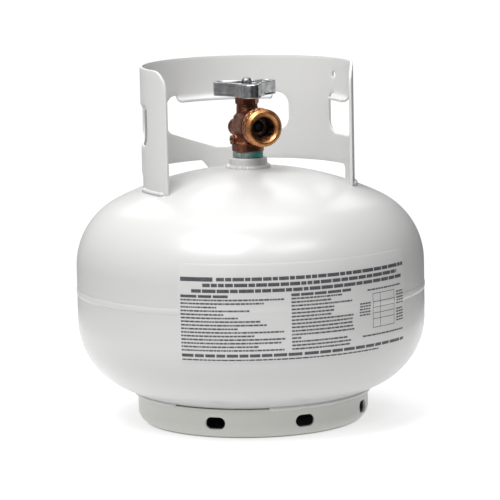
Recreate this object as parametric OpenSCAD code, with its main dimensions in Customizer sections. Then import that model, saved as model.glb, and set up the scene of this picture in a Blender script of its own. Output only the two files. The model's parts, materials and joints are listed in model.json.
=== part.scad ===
// Squat refillable LP gas cylinder with a protective collar, a foot ring and an
// overfill protected valve. Millimetres, +Z up, origin on the ground at the axis.
// The collar opens towards -Y and is symmetric about the YZ plane.

/* [Shell] */
// Outer radius of the pressure shell
shell_r = 155; // [140:1:170]
// Sheet thickness of the two heads
shell_wall = 2; // [1.8:0.1:3]
// Outer radius of the crown of the heads
crown_r = 268; // [240:1:300]
// Outer radius of the knuckle of the heads
knuckle_r = 64; // [52:1:72]
// Height of the straight skirt on the upper head
upper_skirt = 21.2; // [15:0.1:45]
// Height of the straight skirt on the lower head
lower_skirt = 27.5; // [15:0.1:50]
// Height of the shell's lowest point above the ground
ground_gap = 7; // [6.5:0.5:14]
// Height of the girth weld bead above the shell
bead_h = 0.6; // [0.3:0.1:1.2]

/* [Foot ring] */
// Outer radius of the foot ring
foot_r = 103; // [95:1:115]
// Outer radius of the rolled lower edge
foot_bend_r = 11; // [8:0.5:14]
// Width of the flat annulus that stands on the ground
foot_flat_w = 6; // [4:0.5:8]
// Number of drain slots
slot_count = 7; // [4:1:8]
// Length of a drain slot
slot_l = 18; // [12:0.5:24]
// Height of a drain slot
slot_h = 10.5; // [6:0.5:12]
// Height of the slot centres
slot_z = 14; // [13:0.5:16]

/* [Collar] */
// Outer radius of the collar
collar_r = 94.5; // [88:0.5:100]
// Sheet thickness of the collar and the foot ring
sheet = 2.5; // [2:0.1:3]
// Height of the collar's top edge
collar_top = 318; // [305:1:335]
// Angle from the back of the collar to each free end
collar_end = 117.3; // [105:0.1:130]
// Radius of the top corners at the free ends
end_corner_r = 19; // [8:0.5:25]
// Top edge of the back hand hold
back_top = 284; // [280:0.5:290]
// Lower edge of the back hand hold at its middle
back_low = 234; // [230:0.5:240]
// Angle from the back to the middle of each side hand hold
side_at = 82.3; // [75:0.1:88]
// Width of a side hand hold
side_w = 48; // [40:1:52]
// Top and lower edges of the side hand holds
side_top = 286; // [280:0.5:288]
side_low = 249; // [244:0.5:256]

/* [Valve] */
// Angle of the outlet from -Y towards +X
valve_clock = 6.6; // [-20:0.1:20]
// Height of the outlet's axis
outlet_z = 264.6; // [262:0.1:268]
// Height of the relief valve's axis
relief_z = 259.4; // [257:0.1:265]
// Distance from the cylinder's axis to the outlet's face
outlet_reach = 43; // [40:0.5:46]
// Major radius of the outlet's outside thread
outlet_thread_r = 16.67; // [16:0.01:17]
// Radius of the outlet's inside thread
outlet_bore_r = 10.6; // [10:0.1:11.2]
// Distance from the axis to the end of the relief valve
relief_reach = 29; // [28:0.5:32]

/* [Handwheel] */
// Distance from the axis to the tip of a lobe
wheel_reach = 31; // [29:0.5:33]
// Height of the handwheel's rim
wheel_h = 12.5; // [11:0.5:14]
// Angle of the first lobe from the outlet's frame
wheel_clock = -101; // [-120:0.1:0]

/* [Label] */
// Angle that the label covers
label_span = 83; // [60:1:100]
// Lower and upper edges of the label
label_low = 77.5; // [70:0.5:100]
label_high = 162; // [140:0.5:165]

/* [Hidden] */
$fn = 96;
eps = 0.5;

// Shell: pressed heads, each a crown arc and a knuckle arc
knuckle_x = shell_r - knuckle_r;
crown_angle = asin(knuckle_x / (crown_r - knuckle_r));
head_h = crown_r - (crown_r - knuckle_r) * cos(crown_angle);
seam_z = ground_gap + head_h + lower_skirt;
top_z = seam_z + upper_skirt + head_h;
upper_crown_z = top_z - crown_r;
lower_crown_z = ground_gap + crown_r;
bead_half_w = 3;
backing_h = 10;
bead_c = (bead_half_w * bead_half_w - bead_h * bead_h) / (2 * bead_h);
label_t = 0.35;
label_mid = -86.4;

// Collar and foot ring
flange_bend_r = 4;
flange_lip = 3;
back_half_angle = 29;
side_flange_half = 10;
side_low_corner = 12;
side_top_corner = 7;
slot_top = 223;
slot_end_angle = 85;
back_foot_low = 12.8;
back_foot_high = 20.5;
tag_hole_r = 3;
tag_hole_at = 17.4;
tag_hole_z = 302;
first_slot = -123.2;
slot_pitch = 45;
foot_weld_from = -96.5;
foot_weld_span = 131.5;

// Valve heights
boss_r = 17;
boss_low = 216;
boss_top = 235;
shank_r = 12.7;
shank_low = 213;
flats_z = 240.6;
flats_h = 8;
body_r = 12.4;
column_r = 9.6;
column_z = 274;
body_top = 280;
seat_z = 251.5;
chamber_r = 7;
inlet_r = 6;
riser_x = 9.4;
bonnet_r = 8.6;
bonnet_low = 270.5;
bonnet_top = 289;
flats_w = 26;
flats_corner_r = 14.2;
neck_r = 13.6;
stem_r = 4;
stem_fit = 0.06;
blade_z = 258.4;
stem_low = 265.4;
ring_heights = [274, 278.5];
ring_r = 0.7;
wheel_z = 289.6;
square_w = 5.6;
square_z = 292;
hub_r = 7.5;
hub_top = 300;
nut_top = 307;
nut_thread_r = 2;
dish_inset = 3;

// Outlet check, relief valve and bleeder, along their own axes
check_y = 27.6;
retainer_in = 24.4;
recess_r = 8.5;
check_chamber_r = 6.5;
seal_y = 26.2;
relief_seat_y = 15.8;
relief_bore_r = 5.6;
bleeder_z = 251;
bleeder_bore_r = 2.6;
bleeder_pad_x = 13.4;
bleeder_head_x = 16;

// Overfill protection
pin_z = 177;
pin_r = 1.5;
opd_r = 7.6;
opd_low = 186;
piston_r = 4.8;
piston_rod_r = 1.6;
float_r = 9.5;
float_top = 158;
float_len = 40;
dip_low = 166.5;

// Filled half section of a head, moved in from its outer face by inset
module head_section(inset, skirt) {
    r = shell_r - inset;
    k = knuckle_r - inset;
    c = crown_r - inset;
    far = 2 * crown_r;
    translate([0, -skirt]) square([r, skirt]);
    square([knuckle_x, k * cos(crown_angle)]);
    intersection() {
        translate([knuckle_x, 0]) circle(k);
        polygon([[knuckle_x, 0], [far, 0], [far, far],
                 [knuckle_x + far * tan(crown_angle), far]]);
    }
    intersection() {
        translate([0, head_h - crown_r]) circle(c);
        polygon([[0, 0], [knuckle_x, 0], [knuckle_x + far * tan(crown_angle), far], [0, far]]);
    }
}

// The skirt stops short of the seam by half the weld's width
module head_shell(skirt) {
    rotate_extrude() difference() {
        head_section(0, skirt);
        head_section(shell_wall, skirt);
        translate([-eps, -skirt - eps]) square([shell_r + 2 * eps, bead_half_w + eps]);
    }
}

module upper_ball() {
    translate([0, 0, upper_crown_z]) sphere(crown_r, $fn = 200);
}

module lower_ball() {
    translate([0, 0, lower_crown_z]) sphere(crown_r, $fn = 200);
}

// Flat ring or tube about Z
module tube(outer, inner, low, high) {
    translate([0, 0, low]) difference() {
        cylinder(r = outer, h = high - low);
        translate([0, 0, -eps]) cylinder(r = inner, h = high - low + 2 * eps);
    }
}

// Solid rod along Y at a height, from y = start to y = finish
module rod_y(r, start, finish, r2 = -1, z = outlet_z) {
    translate([0, start, z]) rotate([start < finish ? -90 : 90, 0, 0])
        cylinder(r1 = r, r2 = r2 < 0 ? r : r2, h = abs(finish - start));
}

// Solid rod along X at a height, from x = start to x = finish
module rod_x(r, start, finish, z) {
    translate([min(start, finish), 0, z]) rotate([0, 90, 0]) cylinder(r = r, h = abs(finish - start));
}

// Everything on the valve turns with it
module clocked() {
    rotate([0, 0, valve_clock]) children();
}

// Round wire spring about Z, from z = 0 to z = length
module coil(mean_r, wire_r, length, turns) {
    steps = 10;
    sides = 6;
    rings = turns * steps;
    rise = (length - 2 * wire_r) / rings;
    points = [for (i = [0 : rings]) for (s = [0 : sides - 1])
        let (a = 360 * i / steps, b = 360 * s / sides, r = mean_r + wire_r * cos(b))
        [r * cos(a), r * sin(a), wire_r + rise * i + wire_r * sin(b)]];
    skin = [for (i = [0 : rings - 1]) for (s = [0 : sides - 1])
        let (n = (s + 1) % sides, p = i * sides, q = p + sides)
        [p + s, q + s, q + n, p + n]];
    caps = [[for (s = [0 : sides - 1]) s], [for (s = [sides - 1 : -1 : 0]) rings * sides + s]];
    polyhedron(points, concat(skin, caps));
}

// ---- Pressure shell ----

module upper_head() {
    color("whitesmoke") difference() {
        translate([0, 0, seam_z + upper_skirt]) head_shell(upper_skirt);
        translate([0, 0, boss_low - 10]) cylinder(r = boss_r, h = 40);
    }
}

// The lower head's skirt steps in behind the upper one, as a backing for the weld
module lower_head() {
    color("whitesmoke") {
        translate([0, 0, seam_z - lower_skirt]) mirror([0, 0, 1]) head_shell(lower_skirt);
        tube(shell_r - shell_wall, shell_r - 2 * shell_wall, seam_z - backing_h, seam_z + backing_h);
    }
}

// The weld fills the groove between the heads and stands a little proud of them
module bead_section(extra = 0) {
    half = extra > 0 ? 2 * bead_half_w : bead_half_w;
    intersection() {
        translate([shell_r - bead_c, seam_z]) circle(bead_c + bead_h + extra);
        translate([shell_r - shell_wall, seam_z - half]) square([shell_wall + 5, 2 * half]);
    }
}

module girth_weld() {
    color("white") rotate_extrude() bead_section();
}

// Half section of the whole shell, moved in by inset
module shell_section(inset) {
    translate([0, seam_z + upper_skirt]) head_section(inset, upper_skirt);
    translate([0, seam_z - lower_skirt]) mirror([0, 1]) head_section(inset, lower_skirt);
}

// The label follows the shell and steps over the weld bead
module label() {
    color("ivory") rotate([0, 0, label_mid - label_span / 2]) rotate_extrude(angle = label_span)
    difference() {
        intersection() {
            union() {
                shell_section(-label_t);
                bead_section(label_t);
            }
            translate([shell_r / 2, label_low]) square([shell_r, label_high - label_low]);
        }
        shell_section(0);
        bead_section();
    }
}

// ---- Foot ring ----

module foot_section() {
    bend_x = foot_r - foot_bend_r;
    translate([foot_r - sheet, foot_bend_r]) square([sheet, 24]);
    translate([bend_x - foot_flat_w, 0]) square([foot_flat_w, sheet]);
    intersection() {
        translate([bend_x, foot_bend_r]) difference() {
            circle(foot_bend_r);
            circle(foot_bend_r - sheet);
        }
        translate([bend_x, 0]) square([foot_bend_r, foot_bend_r]);
    }
}

module drain_slot() {
    half = (slot_l - slot_h) / 2;
    translate([foot_r - 8, 0, slot_z]) rotate([0, 90, 0]) {
        for (s = [-1, 1]) translate([0, s * half, 0]) cylinder(d = slot_h, h = 16);
        translate([-slot_h / 2, -half, 0]) cube([slot_h, 2 * half, 16]);
    }
}

module foot_ring() {
    color("silver") difference() {
        rotate_extrude() foot_section();
        lower_ball();
        for (i = [0 : slot_count - 1]) rotate([0, 0, first_slot + slot_pitch * i]) drain_slot();
    }
}

module foot_ring_welds() {
    weld_z = lower_crown_z - sqrt(crown_r * crown_r - foot_r * foot_r);
    color("gainsboro") for (s = [0, 180]) rotate([0, 0, foot_weld_from + s]) difference() {
        rotate_extrude(angle = foot_weld_span) translate([foot_r + 0.4, weld_z - 0.8]) circle(2.6, $fn = 32);
        lower_ball();
        cylinder(r = foot_r, h = 60);
    }
}

// ---- Collar ----

// The rolled edge is a little thinner than the sheet, and its tab lies within the sheet
module flange_section() {
    thin = 0.2;
    outer = flange_bend_r + sheet - thin;
    inner = flange_bend_r + thin;
    intersection() {
        difference() {
            circle(outer);
            circle(inner);
        }
        translate([0, -outer]) square([outer, outer]);
    }
    translate([-flange_lip, -outer]) square([flange_lip, outer - inner]);
    translate([inner, 0]) square([outer - inner, 2]);
}

// The metal of a hand hold's top edge, rolled inwards as a grip
module flange(mid, half, z) {
    rotate([0, 0, 90 - mid - half]) rotate_extrude(angle = 2 * half)
        translate([collar_r - sheet - flange_bend_r, z + eps]) flange_section();
}

module back_hold() {
    wide = 58.8;
    translate([0, 40, 0]) rotate([90, 0, 180]) linear_extrude(80)
        offset(r = 12, $fn = 48) offset(delta = -12)
            polygon([[-wide, back_top], [wide, back_top], [wide, 252], [46, back_low + 13.5],
                     [6, back_low], [-6, back_low], [-46, back_low + 13.5], [-wide, 252]]);
}

module side_hold() {
    h = side_top - side_low;
    corners = [for (y = [-1, 1]) for (top = [-1, 1])
        [top, y, top > 0 ? side_top_corner : side_low_corner]];
    rotate([0, 0, 90 - side_at]) translate([80, 0, side_low + h / 2]) rotate([90, 0, 90]) {
        for (c = corners)
            translate([c[1] * (side_w / 2 - c[2]), c[0] * (h / 2 - c[2]), 0]) cylinder(r = c[2], h = 30);
        translate([side_low_corner - side_w / 2, -h / 2, 0]) cube([side_w - 2 * side_low_corner, h / 2, 30]);
        translate([side_top_corner - side_w / 2, 0, 0]) cube([side_w - 2 * side_top_corner, h / 2, 30]);
        translate([-side_w / 2, side_low_corner - h / 2, 0])
            cube([side_w, h - side_low_corner - side_top_corner, 30]);
    }
}

// Gap under the collar between its end feet, less the foot at the back
module base_gap() {
    knee_z = 214;
    flare = (back_foot_high - back_foot_low) / (slot_top - knee_z);
    over = 2;
    difference() {
        rotate([0, 0, 90 - slot_end_angle]) rotate_extrude(angle = 2 * slot_end_angle)
            translate([70, 195]) square([40, slot_top - 195]);
        translate([0, 120, 0]) rotate([90, 0, 0]) linear_extrude(60)
            polygon([[-back_foot_low, 190], [back_foot_low, 190], [back_foot_low, knee_z],
                     [back_foot_high + over * flare, slot_top + over],
                     [-back_foot_high - over * flare, slot_top + over], [-back_foot_low, knee_z]]);
    }
}

module end_corner() {
    rotate([0, 0, 90 - collar_end]) translate([80, -1, collar_top - end_corner_r]) difference() {
        cube([25, end_corner_r + 1, end_corner_r + 1]);
        translate([-1, end_corner_r + 1, 0]) rotate([0, 90, 0]) cylinder(r = end_corner_r, h = 27);
    }
}

module collar() {
    color("lightgray") {
        difference() {
            rotate([0, 0, 90 - collar_end]) rotate_extrude(angle = 2 * collar_end)
                translate([collar_r - sheet, 200]) square([sheet, collar_top - 200]);
            upper_ball();
            base_gap();
            back_hold();
            for (s = [0, 1]) mirror([s, 0, 0]) {
                side_hold();
                end_corner();
            }
            rotate([0, 0, tag_hole_at]) rod_x(tag_hole_r, 80, 110, tag_hole_z);
        }
        flange(0, back_half_angle, back_top);
        for (s = [-1, 1]) flange(s * side_at, side_flange_half, side_top);
    }
}

module collar_weld(mid, half) {
    weld_z = upper_crown_z + sqrt(crown_r * crown_r - collar_r * collar_r);
    rotate([0, 0, 90 - mid - half]) rotate_extrude(angle = 2 * half)
        translate([collar_r + 0.4, weld_z + 0.6]) circle(2.2, $fn = 32);
}

module collar_welds() {
    foot_mid = (slot_end_angle + collar_end) / 2;
    color("gainsboro") difference() {
        union() {
            collar_weld(0, 6);
            for (s = [-1, 1]) collar_weld(s * foot_mid, 13);
        }
        upper_ball();
        cylinder(r = collar_r, h = collar_top);
    }
}

// ---- Boss ----

module valve_boss() {
    color("whitesmoke") tube(boss_r, shank_r, boss_low, boss_top);
}

module boss_weld() {
    color("white") difference() {
        rotate_extrude() translate([boss_r + 0.3, top_z]) circle(3.4, $fn = 32);
        upper_ball();
        translate([0, 0, 200]) cylinder(r = boss_r, h = 60);
    }
}

module thread_sealant() {
    color("lightseagreen") tube(shank_r + 0.6, shank_r, boss_top, flats_z);
}

// ---- Valve body ----

module body_outside() {
    translate([0, 0, shank_low]) cylinder(r = shank_r, h = flats_z - shank_low + eps);
    translate([0, 0, flats_z]) intersection() {
        cylinder(r = flats_corner_r, h = flats_h);
        translate([-flats_w / 2, -flats_w / 2, 0]) cube([flats_w, flats_w, flats_h]);
    }
    translate([0, 0, flats_z + flats_h - eps]) cylinder(r = body_r, h = column_z - flats_z - flats_h - 2);
    translate([0, 0, column_z - 2 - eps]) cylinder(r1 = body_r, r2 = column_r, h = 3);
    translate([0, 0, column_z]) cylinder(r = column_r, h = body_top - column_z);
    rod_y(neck_r, 0, -outlet_reach + 12);
    rod_y(outlet_thread_r, 1.5 - check_y, 1.5 - outlet_reach);
    rod_y(outlet_thread_r, 1.5 - outlet_reach, -outlet_reach, outlet_thread_r - 1.5);
    rod_y(7.4, 0, relief_reach - 3, z = relief_z);
    rod_y(8, relief_reach - 4, relief_reach, z = relief_z);
    rod_x(5, -bleeder_pad_x, 0, bleeder_z);
}

module body_bores() {
    translate([0, 0, shank_low - 1]) cylinder(r = inlet_r, h = 36);
    translate([0, 0, shank_low + 30]) cylinder(r = 4, h = 8);
    translate([0, 0, seat_z - 1.5]) difference() {
        cylinder(r = chamber_r, h = bonnet_low - seat_z + 2);
        tube(5.4, 4, -1, 1.5);
    }
    translate([0, 0, bonnet_low]) cylinder(r = bonnet_r, h = 20);
    // Outlet: passage, check chamber, ring recess, inside thread and its lead-in
    rod_y(4, 0, -15);
    rod_y(check_chamber_r, -13, 0.2 - retainer_in - 1);
    rod_y(recess_r, -retainer_in, -check_y - 1);
    rod_y(outlet_bore_r, -check_y, -outlet_reach - 1);
    rod_y(outlet_bore_r, 2 - outlet_reach, -outlet_reach - 0.01, outlet_bore_r + 2.01);
    // Relief valve: passage, spring chamber and the riser from the inlet side
    rod_y(2.6, 9, relief_seat_y + 1, z = relief_z);
    rod_y(relief_bore_r, relief_seat_y, relief_reach + 1, z = relief_z);
    translate([0, riser_x, shank_low - 1]) cylinder(r = 1.8, h = relief_z - shank_low + 1);
    // Liquid level bleeder: screw hole and the riser from the dip tube
    rod_x(bleeder_bore_r, -16, -10, bleeder_z);
    translate([-riser_x, 0, shank_low - 1]) cylinder(r = 1.2, h = bleeder_z - shank_low + 1);
    translate([-riser_x, 0, shank_low - 1]) cylinder(r = 1.6, h = 7);
}

module valve_body() {
    color("peru") clocked() difference() {
        body_outside();
        body_bores();
    }
}

// ---- Bonnet, stem and handwheel ----

module bonnet() {
    color("darkgoldenrod") clocked() difference() {
        union() {
            translate([0, 0, bonnet_low]) cylinder(r = bonnet_r, h = 12);
            translate([0, 0, body_top + 0.5]) cylinder(r = 9.3, h = 2);
            translate([0, 0, body_top + 2]) cylinder(r = 10.5, h = bonnet_top - body_top - 2, $fn = 6);
        }
        translate([0, 0, bonnet_low - 1]) cylinder(r = stem_r + stem_fit, h = 30);
    }
}

module bonnet_washer() {
    color("dimgray") tube(9.3, bonnet_r, body_top, body_top + 0.5);
}

module stem() {
    color("goldenrod") clocked() difference() {
        union() {
            translate([-1, -4.5, blade_z]) cube([2, 9, stem_low - blade_z + 0.2]);
            translate([0, 0, stem_low]) cylinder(r = stem_r, h = square_z - stem_low);
            translate([0, 0, stem_low + 3]) cylinder(r = 6.4, h = 1.8);
            translate([-square_w / 2, -square_w / 2, square_z - eps])
                cube([square_w, square_w, hub_top - square_z + eps]);
            translate([0, 0, hub_top - eps]) cylinder(r = nut_thread_r, h = 5);
        }
        for (z = ring_heights) tube(stem_r + 1, stem_r - 2 * ring_r, z - 0.9, z + 0.9);
    }
}

module stem_rings() {
    color("black") for (z = ring_heights)
        rotate_extrude() translate([stem_r - ring_r, z]) circle(ring_r, $fn = 32);
}

// Plan of the three lobed handwheel; grow moves its outline out or in
module wheel_plan(grow) {
    lobe_r = 9.7;
    lobe_at = wheel_reach - lobe_r;
    corner_r = 25.1;
    valley_at = 61.3;
    valley_r = 44.3;
    difference() {
        union() {
            polygon([for (a = [0 : 120 : 240]) for (s = [-22, 22])
                (corner_r + grow) * [cos(a + s), sin(a + s)]]);
            for (a = [0 : 120 : 240]) rotate(a) translate([lobe_at, 0]) circle(lobe_r + grow);
        }
        for (a = [60 : 120 : 300]) rotate(a) translate([valley_at, 0]) circle(valley_r - grow);
    }
}

module handwheel() {
    color("silver") clocked() difference() {
        union() {
            translate([0, 0, wheel_z]) rotate([0, 0, wheel_clock]) difference() {
                linear_extrude(wheel_h) wheel_plan(0);
                translate([0, 0, wheel_h - 3]) linear_extrude(4) wheel_plan(-dish_inset);
                translate([0, 0, -1]) linear_extrude(6) wheel_plan(-dish_inset);
            }
            translate([0, 0, wheel_z]) cylinder(r = hub_r, h = hub_top - wheel_z);
        }
        translate([0, 0, wheel_z - 1]) cylinder(r = stem_r + stem_fit, h = square_z - wheel_z + 1);
        translate([-square_w / 2, -square_w / 2, wheel_z]) cube([square_w, square_w, 20]);
    }
}

module handwheel_nut() {
    color("gainsboro") clocked() difference() {
        union() {
            translate([0, 0, hub_top]) cylinder(r = 5.4, h = 1);
            translate([0, 0, hub_top + 0.5]) cylinder(r = 4.4, h = nut_top - hub_top - 2, $fn = 6);
            translate([0, 0, nut_top - 2]) cylinder(r1 = 3.8, r2 = 2.2, h = 2);
        }
        translate([0, 0, hub_top - 1]) cylinder(r = nut_thread_r, h = 5.5);
    }
}

module seat_holder() {
    color("darkgoldenrod") clocked() difference() {
        translate([0, 0, seat_z + 0.9]) cylinder(r = 6.6, h = 9.6);
        translate([0, 0, seat_z]) cylinder(r = 6, h = 2.6);
        translate([-1.3, -8, 255.2]) cube([2.6, 16, 10]);
    }
}

module seat_disc() {
    color("black") translate([0, 0, seat_z + 0.2]) cylinder(r = 6, h = 2.4);
}

// ---- Outlet check ----

module outlet_seal() {
    color("black") clocked() difference() {
        rod_y(recess_r, -seal_y, -check_y);
        rod_y(6, -26, -check_y - 1);
    }
}

module check_retainer() {
    color("goldenrod") clocked() difference() {
        rod_y(recess_r, -retainer_in, -seal_y);
        rod_y(5.2, -24, -27);
    }
}

module check_poppet() {
    color("dimgray") clocked() {
        rod_y(5.9, -21.2, 0.2 - retainer_in);
        rod_y(3, -24, -27.4);
        rod_y(2, -21.4, -17);
    }
}

module check_spring() {
    color("lightsteelblue") clocked() translate([0, -21, outlet_z])
        rotate([-90, 0, 0]) coil(3.2, 0.5, 7.8, 5);
}

// ---- Relief valve ----

module relief_retainer() {
    color("goldenrod") clocked() difference() {
        rod_y(relief_bore_r, 25.8, 28.2, z = relief_z);
        rod_y(2.2, 25, 29, z = relief_z);
    }
}

module relief_seal() {
    color("black") clocked() rod_y(4.6, relief_seat_y + 0.2, relief_seat_y + 1.4, z = relief_z);
}

module relief_poppet() {
    color("goldenrod") clocked() {
        rod_y(5, relief_seat_y + 1.4, relief_seat_y + 3.2, z = relief_z);
        rod_y(1.5, relief_seat_y + 3, relief_seat_y + 8, z = relief_z);
    }
}

module relief_spring() {
    color("lightsteelblue") clocked() translate([0, relief_seat_y + 3.4, relief_z])
        rotate([-90, 0, 0]) coil(3.2, 0.55, 6.4, 4);
}

// ---- Bleeder and dip tube ----

module bleeder_screw() {
    color("goldenrod") clocked() difference() {
        union() {
            rod_x(bleeder_bore_r - 0.05, -bleeder_head_x + 1, -10.9, bleeder_z);
            rod_x(4.2, -bleeder_head_x, -bleeder_pad_x - 0.3, bleeder_z);
        }
        translate([-bleeder_head_x - 1, -5, bleeder_z - 0.6]) cube([2.2, 10, 1.2]);
    }
}

module dip_tube() {
    color("goldenrod") clocked() translate([-riser_x, 0, 0]) tube(1.6, 1, dip_low, shank_low + 6);
}

// ---- Overfill protection ----

module opd_housing() {
    color("slategray") clocked() difference() {
        union() {
            translate([0, 0, opd_low]) cylinder(r = opd_r, h = shank_low - opd_low);
            translate([0, 0, shank_low - eps]) cylinder(r = inlet_r, h = 8);
            for (s = [-1, 1]) translate([s * 4.6 - 1, -4.5, pin_z - 4]) cube([2, 9, 14]);
        }
        translate([0, 0, opd_low + 3]) cylinder(r = piston_r + 0.2, h = 20);
        translate([0, 0, opd_low + 22]) cylinder(r = 3.6, h = 20);
        translate([0, 0, opd_low - 2]) cylinder(r = piston_rod_r + 0.15, h = 6);
        translate([0, 10, opd_low + 20]) rotate([90, 0, 0]) cylinder(r = 2.4, h = 20);
        rod_x(pin_r, -10, 10, pin_z);
    }
}

module opd_piston() {
    color("gainsboro") clocked() {
        translate([0, 0, opd_low + 8]) cylinder(r = piston_r, h = 10.5);
        translate([0, 0, opd_low - 3.6]) cylinder(r = piston_rod_r, h = 12);
    }
}

module float_pin() {
    color("lightsteelblue") clocked() {
        rod_x(pin_r, -6, 6, pin_z);
        rod_x(2.4, -6.6, -5.6, pin_z);
        rod_x(2.4, 5.6, 6.6, pin_z);
    }
}

module float_arm() {
    cam = 4.7;
    color("slategray") clocked() difference() {
        union() {
            rod_x(4, -3.2, 3.2, pin_z);
            translate([-1.5, -2.5, float_top]) cube([3, 5, pin_z - float_top]);
            translate([0, cam * sin(55), cam * cos(55)]) rod_x(2.5, -1.5, 1.5, pin_z);
        }
        rod_x(pin_r + 0.06, -10, 10, pin_z);
    }
}

module float() {
    color("gold") clocked() translate([0, 0, float_top - float_len]) cylinder(r = float_r, h = float_len);
}

upper_head();
lower_head();
girth_weld();
valve_boss();
boss_weld();
collar();
collar_welds();
foot_ring();
foot_ring_welds();
label();
thread_sealant();
valve_body();
bonnet();
bonnet_washer();
outlet_seal();
check_retainer();
check_poppet();
check_spring();
relief_retainer();
relief_poppet();
relief_seal();
relief_spring();
bleeder_screw();
dip_tube();
stem();
stem_rings();
handwheel();
handwheel_nut();
seat_holder();
seat_disc();
opd_housing();
opd_piston();
float_pin();
float_arm();
float();
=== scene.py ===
import json
import math
import random

import bmesh
import bpy
import numpy as np
from mathutils import Matrix, Vector
from mathutils.geometry import delaunay_2d_cdt
from mathutils.kdtree import KDTree


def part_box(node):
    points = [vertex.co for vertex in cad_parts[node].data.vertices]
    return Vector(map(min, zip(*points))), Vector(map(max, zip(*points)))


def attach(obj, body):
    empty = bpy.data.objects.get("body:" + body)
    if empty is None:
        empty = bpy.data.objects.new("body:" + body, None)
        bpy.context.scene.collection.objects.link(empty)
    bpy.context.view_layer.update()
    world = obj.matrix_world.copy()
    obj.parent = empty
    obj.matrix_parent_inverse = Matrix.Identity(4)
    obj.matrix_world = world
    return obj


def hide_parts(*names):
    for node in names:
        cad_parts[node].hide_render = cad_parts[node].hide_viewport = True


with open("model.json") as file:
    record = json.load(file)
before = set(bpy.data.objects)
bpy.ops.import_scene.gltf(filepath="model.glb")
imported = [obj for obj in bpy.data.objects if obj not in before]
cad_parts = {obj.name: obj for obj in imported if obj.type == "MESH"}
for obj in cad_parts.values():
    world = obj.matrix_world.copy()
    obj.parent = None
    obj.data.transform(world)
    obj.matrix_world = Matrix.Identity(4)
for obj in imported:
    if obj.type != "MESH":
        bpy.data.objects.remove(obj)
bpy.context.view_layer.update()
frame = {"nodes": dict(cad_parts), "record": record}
nodes = frame["nodes"]
scene = bpy.context.scene

# ---------------------------------------------------------------- sizes, in mm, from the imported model


def extent(node):
    """Lowest and highest corner of a CAD node."""
    lo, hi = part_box(node)
    return np.array(lo) * 1000, np.array(hi) * 1000


def middle_z(node):
    lo, hi = extent(node)
    return float(lo[2] + hi[2]) / 2


# Shell: heads of a crown arc and a knuckle arc, with a skirt up to the girth weld
shell_lo, shell_hi = extent("lower_head")[0], extent("upper_head")[1]
weld_lo, weld_hi = extent("girth_weld")
boss_lo, boss_hi = extent("valve_boss")
SHELL_R = round(float(shell_hi[0]), 1)
WALL = 2.0
GROUND_GAP = round(float(shell_lo[2]), 1)
SEAM_Z = middle_z("girth_weld")
WELD_HALF = (weld_hi[2] - weld_lo[2]) / 2
BEAD_H = float(weld_hi[0]) - SHELL_R
BACKING_H = 10.0
CROWN_R, KNUCKLE_R = 268.0, 64.0
KNUCKLE_X = SHELL_R - KNUCKLE_R
CROWN_A = math.degrees(math.asin(KNUCKLE_X / (CROWN_R - KNUCKLE_R)))
HEAD_H = CROWN_R - (CROWN_R - KNUCKLE_R) * math.cos(math.radians(CROWN_A))
BOSS_R, BOSS_LOW, BOSS_TOP = (round(float(x), 1) for x in (boss_hi[0], boss_lo[2], boss_hi[2]))
LOWER_SKIRT = SEAM_Z - GROUND_GAP - HEAD_H
TOP_Z = float(shell_hi[2]) + CROWN_R - math.sqrt(CROWN_R**2 - BOSS_R**2)
UPPER_SKIRT = TOP_Z - SEAM_Z - HEAD_H
LOWER_CROWN_Z, UPPER_CROWN_Z = GROUND_GAP + CROWN_R, TOP_Z - CROWN_R

# Collar and foot ring, rolled from one sheet thickness
collar_lo, collar_hi = extent("collar")
SHEET = 2.5
COLLAR_R = round(float(collar_hi[0]), 1)
COLLAR_TOP = round(float(collar_hi[2]), 1)
COLLAR_END = math.degrees(math.acos(float(collar_lo[1]) / COLLAR_R))
FOOT_R = round(float(extent("foot_ring")[1][0]), 1)
FOOT_BEND, FOOT_LIP = 11.0, 6.0

# Valve; the outlet is clocked from -Y towards +X
mounts = {m["name"]: m for m in frame["record"]["mounts"]}
outlet, bore = mounts["outlet_thread"], mounts["outlet_bore"]
OUTLET_Z = outlet["pos_m"][2] * 1000
CLOCK = round(math.degrees(math.atan2(outlet["axis"][0], -outlet["axis"][1])), 1)
THREAD_R, BORE_R, REACH = outlet["dims"]["r_mm"], bore["dims"]["r_mm"], 43.0
RELIEF_Z, BLEEDER_Z = middle_z("relief_retainer"), middle_z("bleeder_screw")
SHANK_R = 12.7
FLATS_Z = round(float(extent("thread_sealant")[1][2]), 1)
WHEEL_Z, WHEEL_H, WHEEL_REACH, WHEEL_CLOCK = 289.6, 12.5, 31.0, -101.0
DISH_DEPTH, HUB_TOP = 3.0, 300.0

# ---------------------------------------------------------------- mesh helpers


def finish_mesh(name, bm, body, material, stands_for, sharp):
    bmesh.ops.remove_doubles(bm, verts=bm.verts, dist=4e-6)
    bmesh.ops.dissolve_degenerate(bm, edges=bm.edges, dist=1e-7)
    bmesh.ops.recalc_face_normals(bm, faces=bm.faces)
    me = bpy.data.meshes.new(name)
    bm.to_mesh(me)
    bm.free()
    finish_object(name, me, body, material, stands_for, sharp)


def finish_object(name, me, body, material, stands_for, sharp):
    me.name = name
    me.polygons.foreach_set("use_smooth", [True] * len(me.polygons))
    me.set_sharp_from_angle(angle=math.radians(sharp))
    obj = bpy.data.objects.new(name, me)
    scene.collection.objects.link(obj)
    me.materials.clear()
    me.materials.append(material)
    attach(obj, body)
    if stands_for:
        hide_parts(*stands_for)


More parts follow.
